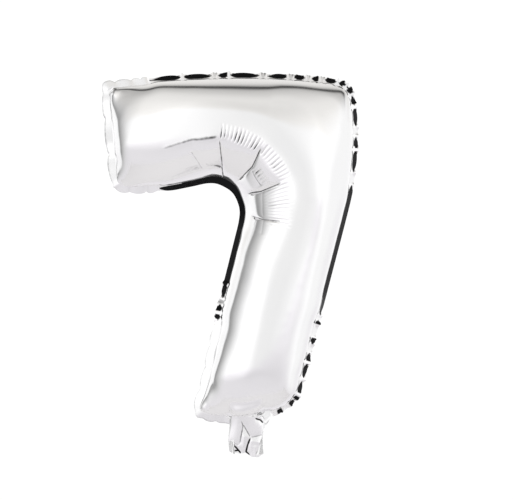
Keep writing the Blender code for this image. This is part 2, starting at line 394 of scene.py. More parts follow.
def refine(film, points):
    """Splits each triangle in four. New points on the pattern's edges follow its curve."""
    faces, count = film.faces, film.count
    ends = edges_of(faces)
    pairs, index = np.unique(ends, axis=0, return_inverse=True)
    a, b, c = index.reshape(-1).reshape(3, len(faces)) + count
    p, q, s = faces.T
    flat = np.concatenate([film.flat, film.flat[pairs].mean(1)])
    key = pairs[:, 0] * count + pairs[:, 1]
    curves = []
    for curve in film.curves:
        pair = np.sort(np.stack([curve[:-1], curve[1:]], 1), axis=1)
        middle = np.searchsorted(key, pair[:, 0] * count + pair[:, 1]) + count
        here = film.flat[curve]
        closed = curve[0] == curve[-1]
        before = np.concatenate([here[-2:-1] if closed else 2 * here[:1] - here[1:2], here[:-2]])
        after = np.concatenate([here[2:], here[1:2] if closed else 2 * here[-1:] - here[-2:-1]])
        flat[middle] = (9 * (here[:-1] + here[1:]) - before - after) / 16
        finer = np.empty(2 * len(curve) - 1, int)
        finer[::2], finer[1::2] = curve, middle
        curves.append(finer)
    film.curves = curves
    film.faces = np.stack([p, a, c, a, q, b, c, b, s, a, b, c], 1).reshape(-1, 3)
    film.kind = np.repeat(film.kind, 4)
    film.flat = flat
    film.along = np.concatenate([film.along, film.along[pairs].mean(1)])
    film.across = np.concatenate([film.across, film.across[pairs].mean(1)])
    film.side = np.concatenate([film.side, np.sign(film.side[pairs].mean(1))])
    film.count = len(flat)
    find_links(film)
    rest(film)
    return np.concatenate([points, points[pairs].mean(1)])


def halved(curve):
    """A closed curve with a new point in the middle of each stretch, by the four-point rule."""
    ahead = np.roll(curve, -1, 0)
    middle = (9 * (curve + ahead) - np.roll(curve, 1, 0) - np.roll(curve, -2, 0)) / 16
    return np.stack([curve, middle], 1).reshape(-1, curve.shape[1])


# The welded margin

# Stretches of the margin from the left of the neck, clockwise up the stem and round: where each ends, in
# millimetres on the seam; how far it turns back, in degrees; and its scallops' lengths in millimetres, which
# repeat as needed. A scallop with a length above 0 is painted dark, as a painted reflection of the dark side
# of the room; one below 0 is left light. A stretch with no scallops is smooth and painted dark in the same
# way.
STRETCHES = [
    ((-27, -136), 14, (-14, -11)),
    ((-6.5, -52), 14, (-19, -23, -21, -17)),
    ((2.5, -17), 50, (5, -3, 6, -6, 14)),
    ((16.4, 42), 50, ()),
    ((8.8, 72.3), 46, ()),
    ((-20, 84.6), 28, ()),
    ((-46, 79.6), 44, ()),
    ((-66, 76.4), 46, (22,)),
    ((-106, 78), 24, (-12, -16, -11)),
    ((-112.5, 163), 8, (-26, -34)),
    ((-74, 170.5), 14, (-12, -15, -9)),
    ((102, 167), 46, (29, -3, 26, -6, 9, -3, 27, -7, 19, -7, 10, -6, 7, -6, 10, -4, 5, -3)),
    ((111.5, 157), 30, (5, -3, 6, -4)),
    ((109, 69), 54, (8, -3, 17, -9, 11, -3, 20, -12, 16, -3, 5, -4)),
    ((84, -30), 59, ()),
    ((79, -50), 66, (16, -6)),
    ((57, -123), 54, (4, -13, 6, -9, 8, -3, 13, -3, 12, -3, 5, -4)),
    ((37, -136.5), 60, (6, -7, 6, -6)),
    ((33, -138), 14, (-9,)),
]
PINCH_LENGTH = 1.8 * MM
PINCH_NARROWS = 0.5  # share of the margin's width that a pinch between two scallops takes off
PINCH_OPENS = 30  # degrees that the margin stands up at a pinch
LENS_TAPER = 0.8  # how far a dark scallop's painted reflection narrows towards its ends
OPEN_RIM = 0.50  # how dark the painted shade along the cut edge is where the margin lies open


def margin_line(film, points):
    """The seam's points under the margin in order: their numbers, the line, and its outward directions."""
    seam = np.unique(film.faces[film.kind == WELD])
    seam = seam[film.across[seam] == 0]
    seam = seam[np.argsort(film.along[seam])]
    line = points[seam]
    way = line.copy()
    for _ in range(30):
        way[1:-1] = (way[:-2] + 2 * way[1:-1] + way[2:]) / 4
    way = np.gradient(way, axis=0)
    way /= np.linalg.norm(way, axis=1)[:, None]
    return seam, line, np.stack([-way[:, 1], way[:, 0]], 1)


def scallops(line):
    """For each point of the margin's line: its way along, turn back, painted darkness, pinch and scallop's
    arch.
    """
    reach = np.concatenate([[0], np.cumsum(np.linalg.norm(np.diff(line, axis=0), axis=1))])
    turn, dark, pinch = np.zeros((3, len(line)))
    arch = np.ones(len(line))
    start = 0.0
    for number, (place, degrees, lengths) in enumerate(STRETCHES):
        after = number > 0 and not STRETCHES[number - 1][2]
        ahead = number + 1 < len(STRETCHES) and not STRETCHES[number + 1][2]
        end = reach[np.linalg.norm(line - np.array(place) * MM, axis=1).argmin()]
        here = (reach >= start) & (reach <= end)
        turn[here] = degrees
        # dark is where the margin's coat is painted dark as painted reflections: 2 on smooth stretches, 1 on
        # dark scallops
        dark[here] = 0 if lengths else 2
        at, k = start, 0
        while lengths and at < end:
            length = lengths[k % len(lengths)]
            stop = min(at + abs(length) * MM, end)
            within = (reach >= at) & (reach <= stop)
            share = (reach[within] - at) / max(stop - at, 1e-9)
            share = share ** (1.5 if k % 4 == 0 else 0.8)  # so that the scallops lean different ways
            if k == 0 and after:  # a scallop runs on at full width into a smooth stretch
                share = 0.5 + share / 2
            if stop == end and ahead:
                share = share / 2
            else:
                pinch += np.exp(-(((reach - stop) / PINCH_LENGTH) ** 2))
            arch[within] = np.sqrt(np.sin(np.pi * np.clip(share, 0.02, 0.98)))
            dark[within] = length > 0
            at = stop
            k += 1
        start = end
    for _ in range(20):
        turn[1:-1] = (turn[:-2] + 2 * turn[1:-1] + turn[2:]) / 4
    return reach, turn, dark, np.minimum(pinch, 1), arch


SEAM_IRONINGS = 200
SEAM_IRONED = (30 * MM, 55 * MM)  # distances from the seam over which the film's own folds are left in again
SEAM_TURNS = (0.90, 0.985)  # straightness of the seam over which the ironing along it starts


def iron(film, points, weight, times, way=None):
    """Smooths the panels by drawing each point towards the middle of its neighbours, by its weight.

    Where way gives each point a direction on the flat film, only neighbours in that direction count."""
    edges = np.unique(edges_of(film.faces[film.kind <= BACK]), axis=0)
    pairs = np.concatenate([edges, edges[:, ::-1]])
    here, there = pairs[weight[pairs[:, 0]] > 0].T
    pull = np.ones(len(here))
    if way is not None:
        step = film.flat[there] - film.flat[here]
        step /= np.linalg.norm(step, axis=1)[:, None]
        pull = (step * way[here]).sum(1) ** 4
    members = np.flatnonzero(weight > 0)
    total = np.bincount(here, pull, film.count)[members, None]
    points = points.copy()
    for _ in range(times):
        drawn = np.stack([np.bincount(here, pull * points[there, k], film.count) for k in range(3)], 1)
        points[members] += 0.5 * weight[members, None] * (drawn[members] / total - points[members])
    return points


def iron_seam(film, points):
    """Smooths the panels along the seam, where it is straight. The film's mesh folds too coarsely there."""
    loop = film.curves[-1][:-1]
    edge = film.flat[loop]
    way = smoothed(np.roll(edge, -1, 0) - np.roll(edge, 1, 0), 4)
    way /= np.linalg.norm(way, axis=1)[:, None]
    straight = np.linalg.norm(smoothed(way, 60), axis=1)
    weight = np.zeros(film.count)
    ways = np.zeros((film.count, 2))
    members = np.unique(film.faces[film.kind <= BACK])
    for i in range(0, len(members), BATCH):
        some = members[i : i + BATCH]
        gap = distances(film.flat[some], edge)
        nearest = gap.argmin(1)
        ways[some] = way[nearest]
        weight[some] = 1 - ramp_up(gap.min(1), *SEAM_IRONED)
        weight[some] *= ramp_up(straight[nearest], *SEAM_TURNS)
    return iron(film, points, weight, SEAM_IRONINGS, ways)


def seat(film, points):
    """Draws the blown-up film over so that the margin's outer edge lies where the CAD's does.

    The CAD's margin is flat, so where this one turns back its seam stands out by what the turn takes off."""
    aim = film.target
    for _ in range(FINER):
        aim = halved(aim)
    loop = film.curves[-1][:-1]
    aims = np.zeros((film.count, 2))
    aims[loop] = aim
    seam, line, out = margin_line(film, aims)
    turn = scallops(line)[1]
    aims[seam] += out * (FLANGE * (1 - np.cos(np.radians(turn))))[:, None]
    here = points[loop]
    aim = np.stack([aims[loop][:, 0], 0.4 * smoothed(here[:, 1:2], 12)[:, 0], aims[loop][:, 1]], 1)
    shift = smoothed(aim - here, 2)
    moved = points.copy()
    for i in range(0, len(points), BATCH):
        weight = 1 / (distances(points[i : i + BATCH][:, [0, 2]], here[:, [0, 2]]) + 0.1 * MM) ** 3
        moved[i : i + BATCH] += weight @ shift / weight.sum(1)[:, None]
    return moved


def lay_margin(film, points):
    """Gives the margin its lie: turned back, open or scalloped, by stretch. Returns its painted reflections
    and shade too.
    """
    seam, line, out = margin_line(film, points[:, [0, 2]])
    reach, turn, dark, pinch, arch = scallops(line)
    along = film.along[seam]
    turned = np.clip(turn / 40, 0, 1)
    waver = 6 * np.sin(reach / (6.1 * MM)) + 4 * np.sin(reach / (3.3 * MM) + 1)
    tilt = np.radians(turn + (1 - turned) * (waver + 20 * pinch) - turned * PINCH_OPENS * pinch)
    width = FLANGE * (1 - PINCH_NARROWS * (0.6 + 0.4 * turned) * (1 - arch))
    members = np.unique(film.faces[film.kind == WELD])
    members = members[film.across[members] > 0]
    at, share = film.along[members], film.across[members]

    def read(values):
        return np.interp(at, along, values)

    reach_out = read(width) * share
    lean = read(tilt)
    laid = np.stack([read(points[seam, k]) for k in range(3)], 1)
    laid[:, 0] += reach_out * np.cos(lean) * read(out[:, 0])
    laid[:, 2] += reach_out * np.cos(lean) * read(out[:, 1])
    laid[:, 1] += reach_out * np.sin(lean)
    near_neck = np.minimum(read(reach), reach[-1] - read(reach))
    hold = ramp_up(near_neck, 0, 8 * MM)[:, None]
    moved = points.copy()
    moved[members] = points[members] * (1 - hold) + laid * hold
    # Painted reflections: the coat is painted dark on the seam and over the margin of smooth stretches, and
    # in lens shapes on dark scallops.
    shade = np.zeros(film.count)
    shade[seam] = 0.8 * np.clip(dark - 1, 0, 1)
    lens = read(arch) - LENS_TAPER * np.abs(2 * share - 1.1)
    # painted shade along the cut edge of the open, light parts of the margin
    rim = OPEN_RIM * ramp_up(share, 0.6, 1) * (1 - read(dark)) * (1 - read(turned))
    shade[members] = np.minimum(read(dark) * ramp_up(lens, -0.02, 0.28), 1) + np.clip(rim, 0, 1)
    return moved, shade


def ramp_up(value, low, high):
    """0 up to low, 1 from high on, and smooth between."""
    share = np.clip((value - low) / (high - low), 0, 1)
    return share * share * (3 - 2 * share)


# The gathers at the inner corner, laid in on a finer mesh

CORNER = (-16.5, 50.0)  # centre of the inner corner, in millimetres
CORNER_IRONINGS = 60
IRONED = (80, 105)  # distances from CORNER over which the film's own small folds are left in again
# Lines that the film creases along, in millimetres: points, depth, how wide the fold is, and how dark and
# how wide a line of painted shade it leaves along the crease. A depth below 0 makes a ridge, and a depth of 0
# leaves only the line of painted shade.
CREASES = [
    ([(-6.4, 82), (-7.2, 97), (-9.4, 118.8)], 0.9, 1.3, 0.68, 0.55),
    ([(7.1, 78.3), (21.2, 92.4), (29.7, 110)], 1.3, 1.4, 0.75, 0.55),
    ([(16.5, 67), (28.8, 68.8), (48, 76.6)], 1.2, 1.3, 0.75, 0.55),
    ([(19.3, 46.4), (31.6, 42.6), (48, 40.5)], 0.7, 1.2, 0.60, 0.50),
    ([(-36.3, 106.6), (-25, 89.6)], 0.5, 1, 0.37, 0.55),
    ([(-44, 90.5), (-30, 94.6), (-20, 96.8)], -0.25, 1.6, 0, 1),
    ([(-5, 97.5), (6.1, 94.6), (16.5, 90.1)], -0.25, 1.6, 0, 1),
    ([(-64, 108.6), (-51.4, 112.4), (-42, 115.4), (-30, 118.4), (-11, 120.8)], -0.3, 2, 0.36, 1.7),
    ([(-47, 114), (-33, 117.8), (-22, 119.8), (-10, 120.9)], 0, 1, 0.52, 1.5),
    ([(20.8, 90), (30.6, 73.6)], 0.5, 3, 0.45, 0.60),
    ([(31, 72), (32.8, 56.6), (31.8, 44.3)], 0.22, 2.2, 0, 1),
    ([(31.8, 43), (29.5, 28)], 0.18, 2.2, 0, 1),
]
FACETS = (106, 79, 51, 24, -8)  # polar angles of the creases between the corner's facets
FACET_REACH = (34, 41, 66, 78)  # distances from CORNER over which the facets begin and end
# Combs of fine gathers round CORNER: middle distance, half length, first and last angle, count, depth, and
# how dark the painted shade at the bottom of each gather is.
COMBS = [
    (75.6, 8, 84.5, 54.5, 11, 0.36, 1),
    (75.6, 7, 51, 25, 9, 0.20, 0.5),
    (58.5, 5, 43, 28.5, 4, 0.22, 0.8),
    (64, 14, 22, -14, 12, 0.18, 0.4),
]
GATHERS_BOX = (-84, 62, 18, 136)  # left, right, bottom and top of the region that holds them all


def polyline_distance(points, line):
    """Distances to a polyline, and each nearest place's share of the way along it."""
    line = np.array(line, float)
    lengths = np.linalg.norm(np.diff(line, axis=0), axis=1)
    best = np.full(len(points), np.inf)
    share = np.zeros(len(points))
    start = 0.0
    for a, b, length in zip(line[:-1], line[1:], lengths):
        t = np.clip((points - a) @ (b - a) / length**2, 0, 1)
        gap = np.linalg.norm(points - a - t[:, None] * (b - a), axis=1)
        nearer = gap < best
        best[nearer] = gap[nearer]
        share[nearer] = (start + t[nearer] * length) / lengths.sum()
        start += length
    return best, share


def polar(points):
    """Distances and angles of points round CORNER."""
    off = points - np.array(CORNER)
    return np.hypot(*off.T), np.degrees(np.arctan2(off[:, 1], off[:, 0]))


def comb_window(radius, angle, comb):
    """1 within a comb, fading to 0 at its edges."""
    middle, half, first, last, count = comb[:5]
    step = (first - last) / count
    ends = ramp_up(angle, last - step, last + step) * (1 - ramp_up(angle, first - step / 2, first + step / 2))
    return ends * ramp_up(half - np.abs(radius - middle), 0, 0.55 * half)


def gather_height(points):
    """How far the film stands in at these points, and its painted crease shade. All in millimetres."""
    height, crease_shade = np.zeros((2, len(points)))
    for line, depth, width, darkness, wide in CREASES:
        gap, share = polyline_distance(points, line)
        fade = ramp_up(np.minimum(share, 1 - share), -0.02, 0.12)
        height -= depth * fade * np.exp(-gap / width)
        # a line of painted shade along the crease
        crease_shade = np.maximum(crease_shade, darkness * fade * np.exp(-((gap / wide) ** 2)))
    radius, angle = polar(points)
    for comb in COMBS:
        _, _, first, last, count, depth, darkness = comb
        window = comb_window(radius, angle, comb)
        turn = (first - angle) / (first - last) * count
        uneven = 0.75 + 0.25 * np.sin(5.1 * np.floor(turn) + 1)
        tick = np.exp(-(((turn % 1 - 0.5) / 0.22) ** 2)) * uneven
        height -= depth * 1.5 * window * tick
        inward = 0.35 + 0.65 * ramp_up(comb[0] + comb[1] - radius, 0.3 * comb[1], 1.5 * comb[1])
        # painted shade at the bottom of each gather
        crease_shade = np.maximum(crease_shade, darkness * inward * window * tick**1.5)
    return height, crease_shade


def facet_shift(points):
    """Moves points of the corner in towards its centre, so that the film runs straight between creases."""
    radius, angle = polar(points)
    begin, full, end, gone = FACET_REACH
    window = ramp_up(radius, begin, full) * (1 - ramp_up(radius, end, gone))
    shift = np.zeros_like(points)
    for high, low in zip(FACETS[:-1], FACETS[1:]):
        here = (angle <= high) & (angle > low)
        off = np.radians(angle[here] - (high + low) / 2)
        draw = 1 - math.cos(math.radians(high - low) / 2) / np.cos(off)
        shift[here] = (points[here] - np.array(CORNER)) * (-window[here] * draw)[:, None]
    return shift


def near_gathers(points, level):
    """Which points lie where the mesh has to be finer. The second level is only round the gathers."""
    left, right, bottom, top = GATHERS_BOX
    x, z = points.T
    found = (x > left) & (x < right) & (z > bottom) & (z < top)
    if level == 0:
        return found
    radius, angle = polar(points)
    fine = np.zeros(len(points), bool)
    for comb in COMBS:
        fine |= comb_window(radius, angle, comb) > 0
    for line, *_ in CREASES:
        fine |= polyline_distance(points, line)[0] < 1.6
    return found & fine


def split_some(film, points, wanted):
    """Splits the wanted triangles in four, and their neighbours so that no point is left on an edge."""
    faces, count = film.faces, film.count
    pairs, index = np.unique(edges_of(faces), axis=0, return_inverse=True)
    index = index.reshape(3, len(faces)).T
    on_seam = np.zeros(count, bool)
    on_seam[film.curves[-1]] = True
    split = np.zeros(len(pairs), bool)
    split[index[wanted]] = True
    split &= ~on_seam[pairs].all(1)
    number = count + np.cumsum(split) - 1
    middle = np.where(split[index], number[index], -1)
    hits = split[index].sum(1)
    made, kinds = [faces[hits == 0]], [film.kind[hits == 0]]
    whole = hits == 3
    p, q, s = faces[whole].T
    a, b, c = middle[whole].T
    made.append(np.stack([p, a, c, a, q, b, c, b, s, a, b, c], 1).reshape(-1, 3))
    kinds.append(np.repeat(film.kind[whole], 4))
    for k in range(3):
        order = [k, (k + 1) % 3, (k + 2) % 3]
        one = (hits == 1) & (middle[:, k] >= 0)
        p, q, s = faces[one][:, order].T
        m = middle[one, k]
        made.append(np.stack([p, m, s, m, q, s], 1).reshape(-1, 3))
        kinds.append(np.repeat(film.kind[one], 2))
        two = (hits == 2) & (middle[:, k] < 0)
        p, q, s = faces[two][:, order].T
        m, n = middle[two][:, order[1:]].T
        made.append(np.stack([m, s, n, p, q, m, p, m, n], 1).reshape(-1, 3))
        kinds.append(np.repeat(film.kind[two], 3))
    parents = pairs[split]
    normals = vertex_normals(points, film.faces[film.kind <= BACK])
    here = points[parents].mean(1)
    lift = np.zeros_like(here)
    for k in (0, 1):
        normal = normals[parents[:, k]]
        lift -= ((here - points[parents[:, k]]) * normal).sum(1)[:, None] * normal / 4
    lift[on_seam[parents].any(1)] = 0
    film.flat = np.concatenate([film.flat, film.flat[parents].mean(1)])
    film.side = np.concatenate([film.side, np.sign(film.side[parents].mean(1))])
    film.across = np.concatenate([film.across, film.across[parents].mean(1)])
    film.faces = np.concatenate(made)
    film.kind = np.concatenate(kinds)
    film.count = count + len(parents)
    return np.concatenate([points, here + lift])


# Broad soft folds elsewhere: points, depth, width, and the share of the way along over which they deepen.
SOFT_FOLDS = [
    ([(-10, -104), (-16, -114), (-25, -126)], 0.9, 5, 0.6),
    ([(36, 151), (54, 151)], 0.5, 6, 0.3),
]


def fold_softly(film, points):
    """Presses the broad soft folds into both panels."""
    panels = film.faces[film.kind <= BACK]
    inner = np.unique(panels)
    inner = inner[film.side[inner] != 0]
    normals = vertex_normals(points, panels)[inner]
    moved = points.copy()
    for line, depth, width, grows in SOFT_FOLDS:
        gap, share = polyline_distance(points[inner][:, [0, 2]] / MM, line)
        press = depth * ramp_up(share, 0, grows) * np.exp(-gap / width)
        press *= ramp_up(np.abs(points[inner, 1]), 1 * MM, 12 * MM)
        moved[inner] -= normals * press[:, None] * MM
    return moved


def gather_corner(film, points):
    """Adds the inner corner's facets, creases and combs of gathers to both panels, on a finer mesh."""
    radius, angle = polar(points[:, [0, 2]] / MM)
    weight = (1 - ramp_up(radius, *IRONED)) * ramp_up(angle, -60, -20) * (1 - ramp_up(angle, 125, 160))
    weight[(film.side == 0) | (film.across > 0)] = 0
    points = iron(film, points, weight, CORNER_IRONINGS)
    for level in range(FINER):
        middle = points[film.faces].mean(1)[:, [0, 2]] / MM
        points = split_some(film, points, (film.kind <= BACK) & near_gathers(middle, level))
    panels = film.faces[film.kind <= BACK]
    points = points.copy()
    flat = points[:, [0, 2]] / MM
    inner = np.unique(panels)
    inner = inner[near_gathers(flat[inner], 0) & (film.side[inner] != 0)]
    points[inner[:, None], [0, 2]] += facet_shift(flat[inner]) * MM
    normals = vertex_normals(points, panels)
    height, crease_shade = gather_height(flat[inner])
    depth = ramp_up(np.abs(points[inner, 1]), 1 * MM, 6 * MM)
    points[inner] += normals[inner] * (height * depth * MM)[:, None]
    # painted shade in the creases and at the bottom of the gathers
    shade = np.zeros(film.count)
    shade[inner] = crease_shade * depth
    return points, shade


# The neck

# The neck's creases: points, depth, width, and how dark the line of painted shade along each is.
NECK_CREASES = [
    ([(11, -146), (12.7, -152), (9.4, -170)], 0.5, 1.5, 0.5),
    ([(12.7, -150), (19.8, -162.6)], 0.5, 1.5, 0.5),
    ([(19.8, -162.6), (17, -170), (15.6, -176), (19.5, -180)], 0.9, 1.3, 1.1),
    ([(19.8, -162.6), (32, -160)], 0.4, 1.5, 0.4),
    ([(1, -169), (6, -172), (11, -178)], 0.9, 1.4, 1.1),
    ([(2, -175.5), (8, -175)], 0.8, 1.4, 1.1),
    ([(0, -166), (9.4, -170)], 0.3, 1.5, 0.3),
    ([(24, -144.5), (29, -146), (32, -149)], 0.8, 1.4, 1),
]
NECK_FOLDS_OUT = [
    ([(22, -166), (31, -168)], 0.8, 3),
    ([(14, -162), (13, -172)], 0.6, 2.5),
    ([(24, -172), (24, -180)], 0.7, 3),
]
NECK_BOTTOM = [(-0.5, -176), (-0.2, -178), (0, -177.5), (0.15, -181), (0.35, -181.5), (0.5, -177.5)]
NECK_ROOT = -142.0  # height of the neck's top, in millimetres
NECK_BOW = (6.0, 0.8)  # how far each side bows out at the seam and at the mouth, in millimetres
NECK_LEAN = 0.10  # how far the neck hangs back, as a slope
NECK_FUNNEL = 14 * MM  # above the neck, where the panels draw together into it


def crumple(points):
    """How far the neck's crumpled film stands towards the back, and the painted shade in its creases."""
    height, crease_shade = np.zeros((2, len(points)))
    for line, depth, width, darkness in NECK_CREASES:
        gap, share = polyline_distance(points, line)
        fade = ramp_up(np.minimum(share, 1 - share), -0.05, 0.15)
        height += depth * fade * np.exp(-gap / width)
        crease_shade = np.maximum(crease_shade, np.minimum(darkness * fade * np.exp(-((gap / 0.8) ** 2)), 1))
    for line, depth, width in NECK_FOLDS_OUT:
        gap, _ = polyline_distance(points, line)
        height -= depth * np.exp(-gap / width)
    return height, crease_shade


def neck_section(across):
    """How far the neck bows out across it, as a share of the most."""
    return np.sqrt(np.maximum(1 - np.abs(2 * across) ** 3, 0))


def neck_shape(across, down, side, inset=0.0):
    """Places on the neck's film: across it from -0.5 to 0.5, and down it in millimetres from the seam."""
    share = np.clip(down / (NECK_LENGTH / MM), 0, 1)
    bottom = np.interp(across, *np.array(NECK_BOTTOM).T)
    z = NECK_ROOT + (bottom - NECK_ROOT) * share
    x = (NECK_X + NECK_WIDTH * across) / MM + 0.5 * np.sin(share * 7)
    height, crease_shade = crumple(np.stack([x, z], 1))
    bow = NECK_BOW[0] + (NECK_BOW[1] - NECK_BOW[0]) * share - inset
    y = side * bow * neck_section(across) + height + NECK_LEAN * np.maximum(down, 0)
    return np.stack([x, y, z], 1) * MM, crease_shade


def lay_neck(film, points):
    """Gives the neck's film its crumpled lie, and draws the panels into it."""
    members = np.unique(film.faces[film.kind >= NECK_FRONT])
    members = members[film.side[members] != 0]
    flat = film.flat[members]
    top = film.flat[film.neck_top]
    middle, wide = (top[0, 0] + top[-1, 0]) / 2, abs(top[0, 0] - top[-1, 0])
    across = (flat[:, 0] - middle) / wide
    down = (top[[0, -1], 1].mean() - flat[:, 1]) / MM
    laid, crease_shade = neck_shape(across, down, film.side[members])
    moved = points.copy()
    moved[members] += (laid - points[members]) * ramp_up(down, -3, 1)[:, None]
    # painted shade along the neck's creases
    shade = np.zeros(film.count)
    shade[members] = crease_shade
    panel = np.unique(film.faces[film.kind <= BACK])
    panel = panel[film.side[panel] != 0]
    panel = panel[points[panel, 2] < FOOT_LEVEL]
    gap = distances(points[panel][:, [0, 2]], points[mouth_of(film)][:, [0, 2]]).min(1)
    opened = NECK_BOW[0] * MM * neck_section((points[panel, 0] - NECK_X) / NECK_WIDTH)
    moved[panel, 1] += film.side[panel] * opened * (1 - ramp_up(gap, 0, NECK_FUNNEL))
    return moved, shade


def mouth_of(film):
    """The seam's points over the neck, where the panels run on into it without a weld."""
    panel, neck = (np.unique(film.faces[film.kind == kind]) for kind in (FRONT, NECK_FRONT))
    return np.intersect1d(panel, neck)


def blown_film():
    """The finished film: its topology, its points, and the painted shade and reflections darkening its coat
    at each.
    """
    film = lay_out(STEP)
    points = fit_pattern(film)
    for steps, push, bend in LEVELS[:FINER]:
        points = refine(film, points)
        points = blow_up(film, points, steps, push, bend)
    points = fold_softly(film, seat(film, iron_seam(film, points)))
    points, shade = lay_margin(film, points)
    for _ in range(FINER):
        points = split_some(film, points, film.kind >= NECK_FRONT)
    shades = [shade]
    points, shade = lay_neck(film, points)
    shades.append(shade)
    points, shade = gather_corner(film, points)
    for found in shades:
        shade[: len(found)] = np.maximum(shade[: len(found)], found)
    return film, points, shade


# Building

# point attribute holding the painted shade and painted reflections that darken the foil's coat
SHADE = "shade"
SHEET_GAP = 0.1 * MM  # between the two films in the weld


class Graph:
    """Short names for making math nodes in a node tree."""

    def __init__(self, tree):
        self.nodes, self.links = tree.nodes, tree.links

    def math(self, operation, *values, clamp=False):
        """A math node's result."""
        node = self.nodes.new("ShaderNodeMath")
        node.operation = operation
        node.use_clamp = clamp
        for socket, value in zip(node.inputs, values):
            self.put(value, socket)
        return node.outputs[0]

    def put(self, value, socket):
        """Sets a socket to a number or colour, or links a socket to it."""
        if isinstance(value, (int, float, tuple)):
            socket.default_value = value
        else:
            self.links.new(value, socket)

    def smooth(self, value, low, high, to_low=0.0, to_high=1.0):
        """A smooth step between two results as the value goes from low to high."""
        node = self.nodes.new("ShaderNodeMapRange")
        node.interpolation_type = "SMOOTHSTEP"
        for name, given in (("Value", value), ("From Min", low), ("From Max", high),
                            ("To Min", to_low), ("To Max", to_high)):
            self.put(given, node.inputs[name])
        return node.outputs[0]

    def ramp(self, degrees, stops, tints=None):
        """Brightness read from stops given at angles from -180 to 180."""
        node = self.nodes.new("ShaderNodeValToRGB")
        self.put(self.math("MULTIPLY_ADD", degrees, 1 / 360, 0.5), node.inputs["Fac"])
        elements = node.color_ramp.elements
        while len(elements) < len(stops):
            elements.new(0.5)
        for element, (angle, shade) in zip(elements, stops):
            tint = (1, 1, 1) if tints is None else tints[angle > 0]
            if shade > 1 or tints is None:
                tint = (1, 1, 1)
            element.position = angle / 360 + 0.5
            element.color = (*(shade * part for part in tint), 1)
        return node.outputs["Color"]

    def noise(self, place, scale, detail):
        """Noise at a place, from 0 to 1."""
        node = self.nodes.new("ShaderNodeTexNoise")
        self.put(place, node.inputs["Vector"])
        node.inputs["Scale"].default_value = scale
        node.inputs["Detail"].default_value = detail
        return node.outputs["Fac"]

    def mix(self, kind, factor, one, two):
        """Two colours mixed."""
        node = self.nodes.new("ShaderNodeMix")
        node.data_type = "RGBA"
        node.blend_type = kind
        self.put(factor, node.inputs[0])
        self.put(one, node.inputs[6])
        self.put(two, node.inputs[7])
        return node.outputs[2]


def foil_material():
    """Metallised film. Its SHADE attribute is 0 where nothing is painted, and 1 where painted shade and
    painted reflections make it dark.
    """
    material = bpy.data.materials.new("foil")
    material.use_nodes = True
    graph = Graph(material.node_tree)
    shader = graph.nodes["Principled BSDF"]
    shader.inputs["Metallic"].default_value = 1.0
    place = graph.nodes.new("ShaderNodeTexCoord").outputs["Object"]
    cloud = graph.noise(place, 26, 3)
    coat = graph.mix("MIX", cloud, (0.915, 0.913, 0.922, 1), (0.955, 0.953, 0.95, 1))
    mark = graph.nodes.new("ShaderNodeAttribute")
    mark.attribute_name = SHADE
    # noise that breaks up the painted darkness, leaving light specks in it
    shade_breakup = graph.math("MULTIPLY_ADD", graph.noise(place, 260, 3), -1.1, 1.5)
    dark = graph.smooth(graph.math("MULTIPLY", shade_breakup, mark.outputs["Fac"]), 0.10, 0.72)
    # the coat painted near black where SHADE is high: painted shade and painted reflections
    graph.put(graph.mix("MIX", dark, coat, (0.012, 0.012, 0.013, 1)), shader.inputs["Base Color"])
    rough = graph.smooth(cloud, 0.25, 0.8, 0.085, 0.15)
    graph.put(graph.math("MULTIPLY_ADD", mark.outputs["Fac"], 0.12, rough), shader.inputs["Roughness"])
    return material


def new_object(name, data):
    """An object in the scene that holds this mesh, camera or light."""
    obj = bpy.data.objects.new(name, data)
    bpy.context.scene.collection.objects.link(obj)
    return obj


def new_mesh(name, points, faces, material, crease=None, shade=None):
    """A smooth mesh of the points that the faces use. crease marks points whose joining edges stay sharp."""
    used, index = np.unique(faces, return_inverse=True)
    mesh = bpy.data.meshes.new(name)
    mesh.from_pydata(points[used].tolist(), [], index.reshape(faces.shape).tolist())
    mesh.shade_smooth()
    if crease is not None:
        ends = np.empty(len(mesh.edges) * 2, int)
        mesh.edges.foreach_get("vertices", ends)
        sharp = crease[used][ends.reshape(-1, 2)].all(1)
        mark = mesh.attributes.new("sharp_edge", "BOOLEAN", "EDGE")
        mark.data.foreach_set("value", sharp)
    if shade is not None:
        mark = mesh.attributes.new(SHADE, "FLOAT", "POINT")
        mark.data.foreach_set("value", shade[used].astype(np.float32))
    mesh.materials.append(material)
    return new_object(name, mesh)


def vertex_normals(points, faces):
    """Unit normals at the points."""
    push = pressure(points, faces, len(points))
    return push / (np.linalg.norm(push, axis=1)[:, None] + 1e-12)


def foil_sheets(film, points, shade, material):
    """The balloon's two sheets as objects, opened between them where the neck lets air in."""
    sheets = {}
    for name, kinds, turn in (
        ("foil_front_sheet", (FRONT, WELD, NECK_FRONT), False),
        ("foil_back_sheet", (BACK, WELD, NECK_BACK), True),
    ):
        faces = film.faces[np.isin(film.kind, kinds)]
        weld = film.kind[np.isin(film.kind, kinds)] == WELD
        if turn:
            faces = faces.copy()
            faces[weld] = faces[weld][:, ::-1]
        mouth = mouth_of(film)
        opened = points.copy()
        section = neck_section((points[mouth, 0] - NECK_X) / NECK_WIDTH)
        opened[mouth, 1] += (1 if turn else -1) * NECK_BOW[0] * MM * section
        crease = np.zeros(film.count, bool)
        crease[film.curves[-1]] = True
        crease[mouth] = False
        opened += vertex_normals(opened, faces) * SHEET_GAP / 2
        sheets[name] = new_mesh(name, opened, faces, material, crease, shade)
    return sheets


